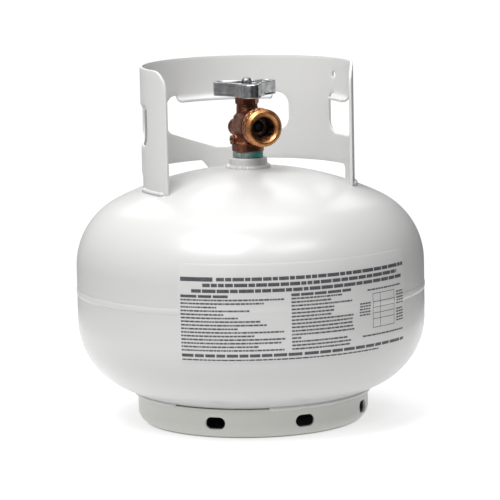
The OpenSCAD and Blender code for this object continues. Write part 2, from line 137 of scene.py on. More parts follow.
def grid_mesh(bm, rows, close_u=True, close_v=False):
    """Quads between rows of points (mm); each row is an n x 3 array."""
    made = [[bm.verts.new(Vector(p) * 0.001) for p in row] for row in rows]
    n, m = len(made), len(made[0])
    for i in range(n if close_v else n - 1):
        a, b = made[i], made[(i + 1) % n]
        for j in range(m if close_u else m - 1):
            k = (j + 1) % m
            bm.faces.new([a[j], a[k], b[k], b[j]])
    return made


def round_row(radii, z, place=None):
    """A ring of points round Z, at a radius for each; place is a matrix."""
    ang = 2 * math.pi * np.arange(len(radii)) / len(radii)
    p = np.stack([radii * np.cos(ang), radii * np.sin(ang), np.broadcast_to(z, ang.shape)], 1)
    return p if place is None else p @ place[:3, :3].T + place[:3, 3]


def turned(profile, count, place=None):
    """Rings of points of a profile of (r, z) turned round Z."""
    return [round_row(np.full(count, float(r)), z, place) for r, z in profile]


def skin(name, rows, body, slot, material, stands_for, sharp):
    """A closed surface through rings of points, of which the last joins the first."""
    bm = bmesh.new()
    grid_mesh(bm, rows, close_v=True)
    finish_mesh(name, bm, body, material, stands_for, sharp)


def lathe(name, profile, count, body, slot, material, stands_for, place=None, sharp=35):
    skin(name, turned(profile, count, place), body, slot, material, stands_for, sharp)


def along(direction, origin, spin=0.0):
    """Matrix whose Z axis is the direction."""
    z = Vector(direction).normalized()
    x = Vector((0, 0, 1)).cross(z)
    x = Vector((1, 0, 0)) if x.length < 1e-6 else x.normalized()
    y = z.cross(x)
    m = np.eye(4)
    m[:3, 0], m[:3, 1], m[:3, 2], m[:3, 3] = x, y, z, origin
    return m @ np.array(Matrix.Rotation(math.radians(spin), 4, "Z"))


clock_cos, clock_sin = math.cos(math.radians(CLOCK)), math.sin(math.radians(CLOCK))
OUTWARD = Vector((clock_sin, -clock_cos, 0))
LEFTWARD = Vector((-clock_cos, -clock_sin, 0))
OUTLET = along(OUTWARD, (0, 0, OUTLET_Z))
RELIEF = along(-OUTWARD, (0, 0, RELIEF_Z))
BLEEDER = along(LEFTWARD, (0, 0, BLEEDER_Z))


def arc(cx, cy, r, a0, a1, n):
    """n + 1 points of a circle's arc, from angle a0 to a1 in degrees."""
    t = np.radians(np.linspace(a0, a1, n + 1))
    return [(cx + r * math.cos(a), cy + r * math.sin(a)) for a in t]


def rounded(corners, step=12):
    """Closed outline whose corners (x, y, r) are rounded."""
    out, n = [], len(corners)
    for i, (x, y, r) in enumerate(corners):
        p = np.array((x, y), float)
        u = np.array(corners[i - 1][:2]) - p
        v = np.array(corners[(i + 1) % n][:2]) - p
        u, v = u / np.linalg.norm(u), v / np.linalg.norm(v)
        half = math.acos(max(-1, min(1, float(u @ v)))) / 2
        if r <= 0 or half > 1.56:
            out.append(p)
            continue
        mid = p + (u + v) / np.linalg.norm(u + v) * r / math.sin(half)
        d = r / math.tan(half)
        e0, e1 = p + u * d - mid, p + v * d - mid
        a0 = math.atan2(e0[1], e0[0])
        turn = (math.atan2(e1[1], e1[0]) - a0 + math.pi) % (2 * math.pi) - math.pi
        k = max(2, round(abs(math.degrees(turn)) / step))
        for j in range(k + 1):
            a = a0 + turn * j / k
            out.append(mid + r * np.array((math.cos(a), math.sin(a))))
    return np.array(out)


def refine(line, step, closed=True):
    """The line with points added so that none are further apart than step."""
    out = []
    n = len(line)
    for i in range(n if closed else n - 1):
        a, b = line[i], line[(i + 1) % n]
        k = max(1, math.ceil(np.linalg.norm(b - a) / step))
        out += [a + (b - a) * j / k for j in range(k)]
    if not closed:
        out.append(line[-1])
    return np.array(out)


def inset(line, depth, closed=True):
    """The line moved to its left."""
    nxt = np.roll(line, -1, 0) - line
    if not closed:
        nxt[-1] = nxt[-2]
    nxt /= np.linalg.norm(nxt, axis=1)[:, None]
    prev = np.roll(nxt, 1, 0)
    if not closed:
        prev[0] = nxt[0]
    left = np.stack([-(nxt[:, 1] + prev[:, 1]), nxt[:, 0] + prev[:, 0]], 1) / 2
    left /= np.maximum((left**2).sum(1), 0.3)[:, None]
    return line + left * depth


def inside(points, loops):
    """Whether each point is inside an odd number of the loops."""
    ends = np.concatenate([np.concatenate([loop, np.roll(loop, -1, 0)], 1) for loop in loops])
    x0, y0, x1, y1 = ends.T
    flags = []
    for chunk in np.array_split(points, max(1, len(points) // 800)):
        px, py = chunk[:, 0:1], chunk[:, 1:2]
        over = (y0 > py) != (y1 > py)
        with np.errstate(divide="ignore", invalid="ignore"):
            at = x0 + (py - y0) * (x1 - x0) / (y1 - y0)
        flags.append((over & (px < at)).sum(1) % 2 == 1)
    return np.concatenate(flags)


def sheet_mesh(bm, loops, thick, bevel, gap, place, extra, lines=(), seam=None):
    """Solid sheet from flat outlines with metal on their left.

    place(u, v, w) maps to mm, with w from the outer face. extra has more points inside the sheet. lines are
    the two open edges of a band that closes round Z; seam has the heights of the points where it closes.
    """
    small = [inset(loop, bevel) for loop in loops]
    ends = [inset(line, bevel, False) for line in lines]
    border = list(small)
    if lines:
        bottom, top = ends
        right = np.array([(bottom[-1, 0], v) for v in seam])
        left = np.array([(top[-1, 0], v) for v in seam[::-1]])
        border.append(np.concatenate([bottom, right, top, left]))
    pts = np.concatenate(border)
    edges, at = [], 0
    for line in border:
        n = len(line)
        edges += [(at + i, at + (i + 1) % n) for i in range(n)]
        at += n
    lo, hi = pts.min(0), pts.max(0)
    us = np.arange(lo[0] + gap[0] / 2, hi[0], gap[0])
    vs = np.arange(lo[1] + gap[1] / 2, hi[1], gap[1])
    grid = np.stack(np.meshgrid(us, vs), -1).reshape(-1, 2)
    grid = np.concatenate([grid] + [np.array(e).reshape(-1, 2) for e in extra])
    grid = grid[inside(grid, border)]
    tree = KDTree(len(pts))
    for i, p in enumerate(pts):
        tree.insert((*p, 0), i)
    tree.balance()
    near = min(gap) * 0.45
    grid = np.array([p for p in grid if tree.find((*p, 0))[2] > near]).reshape(-1, 2)
    cloud = [Vector(p) for p in np.concatenate([pts, grid])]
    co, _, tris, _, _, _ = delaunay_2d_cdt(cloud, edges, [], 0, 1e-5)
    co = np.array([tuple(v) for v in co])
    tris = np.array([t for t in tris if len(t) == 3])
    tris = tris[inside(co[tris].mean(1), border)]
    used = np.unique(tris)
    for w, flip in ((0.0, False), (thick, True)):
        made = {i: bm.verts.new(Vector(place(co[i, 0], co[i, 1], w)) * 0.001) for i in used}
        for t in tris:
            t = [made[i] for i in t]
            bm.faces.new(t[::-1] if flip else t)
    steps = [(math.sin(math.radians(a)), bevel * (1 - math.cos(math.radians(a)))) for a in (0, 30, 60, 90)]
    rings = steps + [(k, thick - w) for k, w in reversed(steps)]
    edges = [(*pair, True) for pair in zip(loops, small)] + [(*pair, False) for pair in zip(lines, ends)]
    for outer, inner, closed in edges:
        rows = [[place(*p, w) for p in inner + (outer - inner) * k] for k, w in rings]
        grid_mesh(bm, rows, close_u=closed)


def wobble(t, seed, sizes):
    """Smooth repeatable noise of an angle in radians, round a closed turn."""
    rnd = random.Random(seed)
    out = 0
    for k, size in sizes:
        out = out + size * np.sin(k * t + rnd.uniform(0, 2 * math.pi))
    return out


def weld_bead(name, radius, height, size, start, sweep, material, stands_for, pitch, seed):
    """A hand laid bead round Z: overlapping ripples of uneven size. start and sweep are in degrees."""
    length = math.radians(sweep) * radius
    rows_n = int(length / 0.45)
    closed = sweep > 359
    rnd = random.Random(seed)
    count = int(length / pitch) + 2
    sizes = [rnd.uniform(0.86, 1.1) for _ in range(count)]
    sides = 14
    rows = []
    for i in range(rows_n + (0 if closed else 1)):
        d = length * i / rows_n
        k, f = int(d / pitch) % count, d / pitch % 1
        ripple = 0.80 + 0.2 * math.sqrt(max(0.0, 1 - (1 - f) ** 2 * 0.9))
        if closed:
            mixed = 1.0 + 0.08 * math.sin(3.1 * k)
        else:
            mixed = sizes[k] * (1 - f) + sizes[(k + 1) % count] * f
        r = size * ripple * mixed
        if not closed:
            end = min(d, length - d) / (size * 1.2)
            r *= math.sqrt(max(0.02, 1 - max(0.0, 1 - end) ** 2))
        a = math.radians(start) + d / radius
        b = 2 * math.pi * np.arange(sides) / sides
        across = radius + r * np.cos(b) * 1.05
        rows.append(np.stack([across * math.cos(a), across * math.sin(a), height + r * np.sin(b)], 1))
    bm = bmesh.new()
    made = grid_mesh(bm, rows, close_v=closed)
    if not closed:
        bm.faces.new(made[0])
        bm.faces.new(made[-1][::-1])
    finish_mesh(name, bm, "cylinder", material, stands_for, 50)


# ---------------------------------------------------------------- materials


class Nodes:
    """Shader nodes of one tree."""

    def __init__(self, tree):
        self.t = tree

    def plug(self, socket, value):
        """Links the socket where the value is another node's socket, else sets it."""
        if isinstance(value, bpy.types.NodeSocket):
            self.t.links.new(value, socket)
        else:
            socket.default_value = value

    def fill(self, node, **inputs):
        """Sets or links the node's inputs; _ in a name stands for a space."""
        for key, value in inputs.items():
            self.plug(node.inputs[key.replace("_", " ")], value)
        return node

    def new(self, kind, **inputs):
        return self.fill(self.t.nodes.new(kind), **inputs)

    def ramp(self, fac, *stops):
        n = self.new("ShaderNodeValToRGB", Fac=fac)
        while len(n.color_ramp.elements) < len(stops):
            n.color_ramp.elements.new(0.5)
        for e, (at, colour) in zip(n.color_ramp.elements, stops):
            e.position = at
            e.color = (*colour, 1) if isinstance(colour, tuple) else (colour, colour, colour, 1)
        return n.outputs["Color"]

    def mix(self, fac, a, b, blend="MIX"):
        n = self.t.nodes.new("ShaderNodeMix")
        n.data_type, n.blend_type = "RGBA", blend
        for value, key in ((fac, "Factor"), (a, "A"), (b, "B")):
            socket = next(x for x in n.inputs if x.name == key and x.enabled)
            self.plug(socket, (*value, 1) if isinstance(value, tuple) else value)
        return next(x for x in n.outputs if x.enabled)

    def reckon(self, operation, *values):
        n = self.new("ShaderNodeMath")
        n.operation = operation
        for socket, value in zip(n.inputs, values):
            self.plug(socket, value)
        return n.outputs[0]


class Look(Nodes):
    """A Principled material."""

    def __init__(self, name, base, rough, metal=0.0, **sockets):
        self.m = bpy.data.materials.new(name)
        self.m.use_nodes = True
        super().__init__(self.m.node_tree)
        self.b = self.t.nodes["Principled BSDF"]
        self.fill(self.b, Base_Color=(*base, 1), Roughness=rough, Metallic=metal, **sockets)
        self.where = self.new("ShaderNodeTexCoord").outputs["Object"]
        self.height = None

    def mapped(self, matrix):
        """Coordinates of the object in a turned frame (metres)."""
        inv = Matrix(matrix).copy()
        inv.translation = inv.translation * 0.001
        inv = inv.inverted()
        n = self.new("ShaderNodeMapping", Location=inv.translation, Rotation=inv.to_euler())
        return self.fill(n, Vector=self.where).outputs["Vector"]

    def stretched(self, scale, vector):
        return self.new("ShaderNodeMapping", Vector=vector, Scale=scale).outputs["Vector"]

    def noise(self, scale, detail=3.0, rough=0.5, vector=None):
        n = self.new("ShaderNodeTexNoise", Scale=scale, Detail=detail, Roughness=rough)
        return self.fill(n, Vector=vector or self.where).outputs["Fac"]

    def rings(self, scale, distortion, vector):
        """Fine turning marks round the vector's Z axis."""
        n = self.new("ShaderNodeTexWave", Scale=scale, Distortion=distortion, Detail=1.0, Vector=vector)
        n.wave_type, n.rings_direction = "RINGS", "Z"
        return n.outputs["Fac"]

    def part(self, axis, vector=None):
        return self.new("ShaderNodeSeparateXYZ", Vector=vector or self.where).outputs[axis]

    def span(self, value, start, end):
        """0 where the value is start, 1 where it is end."""
        return self.new("ShaderNodeMapRange", Value=value, From_Min=start, From_Max=end).outputs["Result"]

    def at_height(self, z, within):
        """1 where Z is within a distance of z (both in metres), else 0."""
        return self.reckon("COMPARE", self.part("Z"), z, within)

    def distance(self, vector):
        n = self.new("ShaderNodeVectorMath")
        n.operation = "LENGTH"
        self.t.links.new(vector, n.inputs[0])
        return n.outputs["Value"]

    def in_bore(self, vector):
        """Mask of the bore's painted shade: 1 on the outlet bore's wall and behind it, 0 on the outlet's
        mouth and outside.
        """
        flat = self.new("ShaderNodeCombineXYZ", X=self.part("X", vector), Y=self.part("Y", vector))
        radius = self.distance(flat.outputs["Vector"])
        near_wall = self.span(radius, (BORE_R + 1.2) * 0.001, BORE_R * 0.001)
        behind_mouth = self.span(self.part("Z", vector), (REACH - 1.0) * 0.001, (REACH - 4.2) * 0.001)
        return self.reckon("MINIMUM", near_wall, behind_mouth)

    def colour(self, socket):
        self.fill(self.b, Base_Color=socket)

    def rough(self, socket):
        self.fill(self.b, Roughness=socket)

    def bump(self, height, strength, distance):
        n = self.new("ShaderNodeBump", Strength=strength, Distance=distance, Height=height)
        if self.height is not None:
            self.fill(n, Normal=self.height)
        self.height = n.outputs["Normal"]
        self.fill(self.b, Normal=self.height)


def dimmed(tone, share):
    return tuple(x * share for x in tone)


def paint(name, tone, warm=0.99, rough=0.3, peel=0.5, coat=0.3):
    """Powder coat with a little orange peel and a few specks of dust."""
    light = (tone, tone, tone * warm)
    look = Look(name, light, rough, Coat_Weight=coat, Coat_Roughness=0.24)
    base = look.ramp(look.noise(9, 4, 0.6), (0.3, dimmed(light, 0.996)), (0.7, light))
    dust = look.ramp(look.noise(900, 2, 0.6), (0.80, 0.0), (0.86, 0.4))
    look.colour(look.mix(dust, base, (tone * 0.8, tone * 0.79, tone * 0.76)))
    look.rough(look.ramp(look.noise(25, 3), (0.3, rough * 0.86), (0.7, rough * 1.16)))
    look.bump(look.noise(330, 2, 0.4), peel, 0.00009)
    look.bump(look.noise(60, 2, 0.4), peel * 0.6, 0.00015)
    return look.m


def label_film():
    look = Look("label_film", (0.52, 0.52, 0.515), 0.32, Coat_Weight=0.3, Coat_Roughness=0.2)
    look.colour(look.ramp(look.noise(40, 3), (0.35, (0.515, 0.515, 0.51)), (0.65, (0.53, 0.53, 0.525))))
    look.bump(look.noise(90, 2), 0.25, 0.0001)
    look.bump(look.noise(1400, 1), 0.15, 0.00002)
    return look.m


def label_print():
    look = Look("label_print", (0.04, 0.04, 0.045), 0.5)
    look.colour(look.ramp(look.noise(700, 3, 0.7), (0.35, (0.03, 0.03, 0.035)), (0.7, (0.10, 0.10, 0.11))))
    look.rough(look.ramp(look.noise(300, 2), (0.3, 0.4), (0.7, 0.6)))
    return look.m


def forged_brass():
    """Dark reddish skin of a hot forging, blotched and slightly rough."""
    look = Look("forged_brass", (0.3, 0.13, 0.08), 0.38, 1.0)
    dark, mid, light = (0.10, 0.035, 0.022), (0.24, 0.085, 0.048), (0.50, 0.21, 0.11)
    skin = look.ramp(look.noise(120, 4, 0.6), (0.32, dark), (0.5, mid), (0.7, light))
    stains = look.ramp(look.noise(900, 4, 0.7), (0.42, 0.0), (0.62, 0.7))
    look.colour(look.mix(stains, skin, (0.16, 0.07, 0.05)))
    look.rough(look.ramp(look.noise(260, 4, 0.6), (0.3, 0.28), (0.7, 0.5)))
    look.bump(look.noise(1500, 3, 0.6), 0.5, 0.00012)
    look.bump(look.noise(260, 3, 0.5), 0.55, 0.0004)
    return look.m


def turned_metal(name, dark, light, matrix, rough, painted_bore_shade=False):
    """Machined metal with turning marks round the Z axis of matrix, with painted shade down the outlet's
    bore where asked.
    """
    look = Look(name, light, rough, 1.0)
    v = look.mapped(matrix)
    grain = look.noise(1500, 3, 0.6, look.stretched((1, 1, 3), v))
    tarnish = look.ramp(look.noise(260, 4, 0.6), (0.45, 0.0), (0.72, 0.75))
    base = look.mix(tarnish, look.ramp(grain, (0.3, light), (0.75, dimmed(light, 0.82))), dark)
    if painted_bore_shade:
        # Painted shade: the bore's wall and what lies behind it are darkened nearly to black.
        base = look.mix(look.in_bore(v), base, (0.035, 0.015, 0.008))
    look.colour(base)
    look.rough(look.ramp(look.noise(420, 3, 0.6), (0.3, rough * 0.75), (0.75, rough * 1.5)))
    look.bump(look.rings(9000, 1.5, v), 0.10, 0.00003)
    look.bump(look.noise(900, 2, 0.5), 0.12, 0.00006)
    return look.m


def plated_casting():
    """Bright plating, with painted shade on the floor of the handwheel's dish."""
    look = Look("plated_zinc_casting", (0.66, 0.67, 0.69), 0.14, 1.0)
    plating = look.ramp(look.noise(160, 4, 0.6), (0.3, (0.38, 0.385, 0.40)), (0.7, (0.66, 0.665, 0.68)))
    # Painted shade: the dish floor, found by its height, is darkened nearly to black.
    painted_dish_shade = look.at_height((WHEEL_Z + WHEEL_H - DISH_DEPTH) * 0.001, 0.00006)
    look.colour(look.mix(painted_dish_shade, plating, (0.10, 0.10, 0.11)))
    look.rough(look.ramp(look.noise(380, 4, 0.6), (0.3, 0.1), (0.75, 0.27)))
    look.bump(look.noise(420, 2, 0.5), 0.22, 0.0002)
    look.bump(look.noise(90, 2, 0.5), 0.25, 0.0006)
    return look.m


def metal(name, tone, rough, scale=700):
    look = Look(name, tone, rough, 1.0)
    look.colour(look.ramp(look.noise(scale, 4, 0.6), (0.3, dimmed(tone, 0.75)), (0.7, tone)))
    look.rough(look.ramp(look.noise(scale * 0.6, 3), (0.3, rough * 0.8), (0.7, rough * 1.4)))
    look.bump(look.noise(scale * 2, 2, 0.5), 0.2, 0.00008)
    return look.m


def matt(name, tone, rough, scale=900):
    look = Look(name, tone, rough)
    look.colour(look.ramp(look.noise(scale * 0.3, 4, 0.6), (0.3, dimmed(tone, 0.75)), (0.7, tone)))
    look.rough(look.ramp(look.noise(scale * 0.5, 3), (0.3, rough * 0.85), (0.7, min(1.0, rough * 1.15))))
    look.bump(look.noise(scale * 2, 2, 0.5), 0.3, 0.00008)
    return look.m


def sealant_paste():
    """Teal thread sealant, greyed towards its left."""
    look = Look("thread_sealant_paste", (0.03, 0.30, 0.29), 0.45)
    dark, teal, pale, grey = (0.015, 0.17, 0.17), (0.03, 0.34, 0.33), (0.12, 0.42, 0.40), (0.34, 0.44, 0.40)
    paste = look.ramp(look.noise(260, 5, 0.7), (0.30, dark), (0.48, teal), (0.62, pale), (0.78, grey))
    greyer_left = look.ramp(look.noise(420, 4, 0.7), (0.35, (0.07, 0.12, 0.115)), (0.7, (0.33, 0.38, 0.35)))
    # The paste turns a patchy, paler grey towards its left.
    look.colour(look.mix(look.span(look.part("X"), 0.006, -0.004), paste, greyer_left))
    look.rough(look.ramp(look.noise(500, 3), (0.3, 0.3), (0.7, 0.65)))
    look.bump(look.noise(700, 3, 0.6), 0.6, 0.0003)
    return look.m


white_paint = paint("white_powder_coat", 0.515, rough=0.34, coat=0.45)
# Painted light: the collar's coat is a paler copy of the white powder coat, toned for how light falls on the
# collar.
collar_paint_painted_light = paint("collar_powder_coat_painted_light", 0.61, rough=0.42, coat=0.1)
# Painted light and shade: the foot ring's coat is a copy of the white powder coat with its own tone and a
# yellower tint, set for how light falls on the ring.
foot_paint_painted_light_shade = paint("foot_powder_coat_painted_light_shade", 0.55, warm=0.94, rough=0.4, coat=0.1)
weld_paint = paint("painted_weld", 0.53, rough=0.36, peel=0.8, coat=0.2)
film = label_film()
ink = label_print()
forged = forged_brass()
bore_brass = (0.22, 0.085, 0.035), (0.56, 0.255, 0.105)
machined = turned_metal("machined_brass", *bore_brass, OUTLET, 0.3, painted_bore_shade=True)
bonnet_brass = turned_metal("bonnet_brass", (0.10, 0.04, 0.025), (0.30, 0.12, 0.07), np.eye(4), 0.3)
bleeder_brass = turned_metal("bleeder_brass", (0.12, 0.05, 0.03), (0.32, 0.15, 0.08), BLEEDER, 0.38)
plain_brass = turned_metal("drawn_brass", (0.36, 0.2, 0.08), (0.62, 0.42, 0.17), np.eye(4), 0.3)
chrome = plated_casting()
zinc = metal("zinc_plated_steel", (0.62, 0.62, 0.63), 0.26)
nut_steel = metal("nut_steel", (0.30, 0.30, 0.31), 0.3)
spring_steel = metal("spring_steel", (0.5, 0.5, 0.51), 0.24, 1200)
fibre = matt("fibre_washer", (0.05, 0.045, 0.04), 0.75)
rubber = matt("nitrile_rubber", (0.018, 0.018, 0.018), 0.6)
acetal = matt("acetal_plastic", (0.16, 0.17, 0.19), 0.4)
check_plastic = matt("check_plastic", (0.012, 0.012, 0.013), 0.55)
float_plastic = matt("float_plastic", (0.62, 0.48, 0.12), 0.5, 500)
sealant = sealant_paste()

# ---------------------------------------------------------------- pressure shell


def head_profile(offset, n_crown, n_knuckle):
    """From the pole to the seam, for a head whose crown is up; z from the knuckle's plane."""
    c, k = CROWN_R - offset, KNUCKLE_R - offset
    line = arc(0, HEAD_H - CROWN_R, c, 90, 90 - CROWN_A, n_crown)
    line += arc(KNUCKLE_X, 0, k, 90 - CROWN_A, 0, n_knuckle)[1:]
    return line


def head(name, node, z0, sign, skirt, hole):
    """A pressed head with its skirt; sign is 1 for the upper head, and the lower one backs the weld."""
    end = skirt - WELD_HALF + 0.3
    outer = [(r, z) for r, z in head_profile(0, 44, 40) if r >= hole]
    inner = [(r, z) for r, z in head_profile(WALL, 24, 20) if r >= hole]
    if hole:
        top = HEAD_H - CROWN_R + math.sqrt(CROWN_R**2 - hole**2)
        outer.insert(0, (hole, top))
        inner.insert(0, (hole, top - WALL))
    outer += [(SHELL_R, -end * 0.35), (SHELL_R, -end * 0.7), (SHELL_R, 0.6 - end), (SHELL_R - 0.5, -end)]
    inside_r = SHELL_R - WALL
    inner += [(inside_r, -end * 0.5)]
    if sign < 0:
        high, low = BACKING_H - skirt, -BACKING_H - skirt
        inner += [(inside_r, high), (inside_r - WALL, high - 1), (inside_r - WALL, low), (inside_r, low)]
    inner.append((inside_r, -end))
    line = [(r, z0 + sign * z) for r, z in outer + inner[::-1]]
    lathe(name, line, 200, "cylinder", "white_paint", white_paint, [node], sharp=30)


def girth_weld_bead():
    """A machine laid bead with fine even ripples."""
    steps = 1500
    angles = 2 * math.pi * np.arange(steps) / steps
    ripple = 0.5 + 0.5 * np.cos(angles * 375 + 0.5 * np.sin(7 * angles))
    drift = wobble(angles, 4, ((5, 0.10), (11, 0.08), (23, 0.05)))
    rows = []
    for t in np.linspace(-1, 1, 9):
        r = SHELL_R - 0.03 + BEAD_H * (1 - t * t) * (0.72 + 0.18 * ripple)
        rows.append(round_row(r, SEAM_Z + t * 3.1 + drift))
    rows += turned([(SHELL_R - WALL + 0.1, SEAM_Z + side * (WELD_HALF - 0.4)) for side in (1, -1)], steps)
    skin("girth_weld_bead", rows, "cylinder", "white_paint", weld_paint, ["girth_weld"], 60)


head("shell_upper", "upper_head", SEAM_Z + UPPER_SKIRT, 1, UPPER_SKIRT, BOSS_R)
head("shell_lower", "lower_head", SEAM_Z - LOWER_SKIRT, -1, LOWER_SKIRT, 0)
girth_weld_bead()

boss_outside = [(BOSS_R, BOSS_LOW, 0.5), (BOSS_R, BOSS_TOP, 1.3)]
boss_line = rounded(boss_outside + [(SHANK_R, BOSS_TOP, 0.7), (SHANK_R, BOSS_LOW, 0.5)], 20)
lathe("boss", boss_line, 112, "cylinder", "white_paint", white_paint, ["valve_boss"])
weld_bead(
    "boss_fillet", BOSS_R + 0.1, TOP_Z - 0.4, 2.9, 0, 360, white_paint, ["boss_weld"], 1.2, 5
)

# ---------------------------------------------------------------- foot ring

SLOT_COUNT, FIRST_SLOT, SLOT_PITCH = 7, -123.2, 45
SLOT_L, SLOT_H, SLOT_Z = 18, 10.4, 14.05
FOOT_WELD_FROM, FOOT_WELD_SPAN = -96.5, 131.5

# The flat blank is as tall as the wall, the bend and the lip that stands on the ground
foot_mid = FOOT_BEND - SHEET / 2
foot_bend_l = foot_mid * math.pi / 2
foot_low = FOOT_BEND - (foot_bend_l + FOOT_LIP)
foot_top = LOWER_CROWN_Z - math.sqrt(CROWN_R**2 - (FOOT_R - SHEET) ** 2) - 0.15


def foot_place(u, v, w):
    a = u / FOOT_R
    r, z = FOOT_R - w, v
    if v < FOOT_BEND:
        turn = min((FOOT_BEND - v) / foot_mid, math.pi / 2)
        r = FOOT_R - FOOT_BEND + (FOOT_BEND - w) * math.cos(turn)
        z = FOOT_BEND - (FOOT_BEND - w) * math.sin(turn)
        r -= max(0.0, (FOOT_BEND - v) - foot_bend_l)
    return r * math.cos(a), r * math.sin(a), z


def slot_outline(mid):
    h = (SLOT_L - SLOT_H) / 2
    right = arc(mid + h, SLOT_Z, SLOT_H / 2, 90, -90, 12)
    left = arc(mid - h, SLOT_Z, SLOT_H / 2, -90, -270, 12)
    return refine(np.array(right + left), 3)


def foot_ring_sheet():
    half, count = math.pi * FOOT_R, 216
    us = np.linspace(-half, half, count + 1)
    bottom = np.stack([us, np.full(count + 1, foot_low)], 1)
    top = np.stack([us[::-1], np.full(count + 1, foot_top)], 1)
    at = [math.radians((FIRST_SLOT + SLOT_PITCH * i + 180) % 360 - 180) for i in range(SLOT_COUNT)]
    slots = [slot_outline(a * FOOT_R) for a in at]
    in_bend = foot_low + 1.6 + np.arange(0, FOOT_BEND - foot_low, 1.7)
    bands = np.concatenate([in_bend, np.arange(FOOT_BEND + 2, foot_top - 1.5, 3)])
    points = [(u, v) for u in us[1:-1] for v in bands]
    bm = bmesh.new()
    sheet_mesh(bm, slots, SHEET, 0.5, (3.0, 500.0), foot_place, [points], (bottom, top), bands)
    finish_mesh("foot_ring_sheet", bm, "cylinder", foot_paint_painted_light_shade, ["foot_ring"], 40)


foot_ring_sheet()

# Two long weld runs, with a dark gap between ring and shell elsewhere
foot_weld_z = LOWER_CROWN_Z - math.sqrt(CROWN_R**2 - FOOT_R**2) - 0.8
for side, turn, stands_for, seed in (("front", 0, ["foot_ring_welds"], 11), ("back", 180, [], 12)):
    weld_bead(
        "foot_weld_" + side, FOOT_R + 0.3, foot_weld_z, 2.4, FOOT_WELD_FROM + turn, FOOT_WELD_SPAN,
        weld_paint, stands_for, 3.4, seed,
    )

# ---------------------------------------------------------------- collar

# Angles are from the back. A tab is the flange rolled in from the top of a hand hold: its middle, its half
# width and the height where its roll starts
BACK_TAB, SIDE_AT = (0.0, 29.0, 284.5), 82.3
TABS = [BACK_TAB, (SIDE_AT, 10.0, 286.5), (-SIDE_AT, 10.0, 286.5)]
ROLL_R, ROLL_LIP = 4.0, 3.0
BACK_TOP, BACK_LOW, BACK_HALF = 284, 234, 58.8
SIDE_TOP, SIDE_LOW, SIDE_HALF = 286, 249, 24
SLOT_TOP, SLOT_END = 223, 85
BACK_FOOT_LOW, BACK_FOOT_HIGH, BACK_FOOT_KNEE = 12.8, 20.5, 214
TAG_AT, TAG_Z, TAG_R = 72.6, 302, 3
END_CORNER_R = 19

roll_mid = ROLL_R + SHEET / 2
roll_len = roll_mid * math.pi / 2 + ROLL_LIP


def at_x(x):
    """Distance round the collar to a width seen from the front."""
    return COLLAR_R * math.asin(x / COLLAR_R)


def at_deg(a):
    return COLLAR_R * math.radians(a)


def collar_place(u, v, w):
    r, z = COLLAR_R - w, v
    for mid, spread, start in TABS:
        if abs(u - at_deg(mid)) < at_deg(spread) + 0.9 and start - roll_len - 0.5 < v < start:
            turn = min((start - v) / roll_mid, math.pi / 2)
            r = COLLAR_R - SHEET - ROLL_R + (ROLL_R + SHEET - w) * math.cos(turn)
            z = start - (ROLL_R + SHEET - w) * math.sin(turn)
            r -= max(0.0, (start - v) - roll_mid * math.pi / 2)
    a = u / COLLAR_R
    return r * math.sin(a), r * math.cos(a), z


def hand_hold(tab, top_v, top_half, top_r, low_corners):
    """Outline of a hand hold with metal outside it and its tab at the top, running clockwise."""
    mid, spread, start = tab
    t, low = at_deg(spread), start - roll_len
    line = [(-top_half, top_v, top_r), (-t, top_v, 0.5), (-t, low, 1.6)]
    line += [(t, low, 1.6), (t, top_v, 0.5), (top_half, top_v, top_r)]
    return refine(rounded([(at_deg(mid) + x, y, r) for x, y, r in line + low_corners]), 2.6)


def mirrored(points):
    """Points (x, y, r) of the right side, followed by those of the left."""
    return points + [(-x, y, r) for x, y, r in reversed(points)]


def collar_rim():
    """Outside edge with the three feet and the gaps over the dome, counterclockwise."""
    foot = UPPER_CROWN_Z + math.sqrt(CROWN_R**2 - COLLAR_R**2) - 0.5
    end, gap, high, low = at_deg(COLLAR_END), at_deg(SLOT_END), at_x(BACK_FOOT_HIGH), at_x(BACK_FOOT_LOW)
    back_foot = [(low + 2.0, foot, 0), (low, BACK_FOOT_KNEE, 6), (high, SLOT_TOP, 5)]
    right = back_foot + [(gap, SLOT_TOP, 5), (gap, foot, 0), (end, foot, 0), (end, COLLAR_TOP, END_CORNER_R)]
    return refine(rounded(mirrored(right), 8), 2.6)


def collar_sheet():
    wide = at_x(BACK_HALF)
    low_corners = mirrored([(wide, 252, 12), (at_x(46), 247.5, 12), (6, BACK_LOW, 12)])
    holds = [hand_hold(BACK_TAB, BACK_TOP, wide, 12, low_corners)]
    tag = np.array(arc(at_deg(TAG_AT), TAG_Z, TAG_R, 360, 0, 20)[:-1])
    half = at_x(SIDE_HALF)
    sides = [hand_hold(tab, SIDE_TOP, half, 7, mirrored([(half, SIDE_LOW, 12)])) for tab in TABS[1:]]
    rolls = []
    for mid, spread, start in TABS:
        across = np.arange(-at_deg(spread) + 1.5, at_deg(spread) - 1, 3.0)
        for v in np.arange(start - roll_len + 1.2, start + 0.1, 1.15):
            rolls += [(at_deg(mid) + x, v) for x in across]
    bm = bmesh.new()
    outlines = [collar_rim()] + holds + [tag] + sides
    sheet_mesh(bm, outlines, SHEET, 0.55, (3.2, 4.1), collar_place, [rolls])
    finish_mesh("collar_sheet", bm, "cylinder", collar_paint_painted_light, ["collar"], 40)


collar_sheet()

collar_weld_z = UPPER_CROWN_Z + math.sqrt(CROWN_R**2 - COLLAR_R**2) + 0.6
side_foot = (SLOT_END + COLLAR_END) / 2
collar_welds = [("back", 90, 14, ["collar_welds"], 21)]
collar_welds += [("right", 90 - side_foot, 26, [], 22), ("left", 90 + side_foot, 26, [], 23)]
for side, middle, span, stands_for, seed in collar_welds:
    weld_bead(
        "collar_weld_" + side, COLLAR_R + 0.3, collar_weld_z, 2.2, middle - span / 2, span,
        weld_paint, stands_for, 2.6, seed,
    )

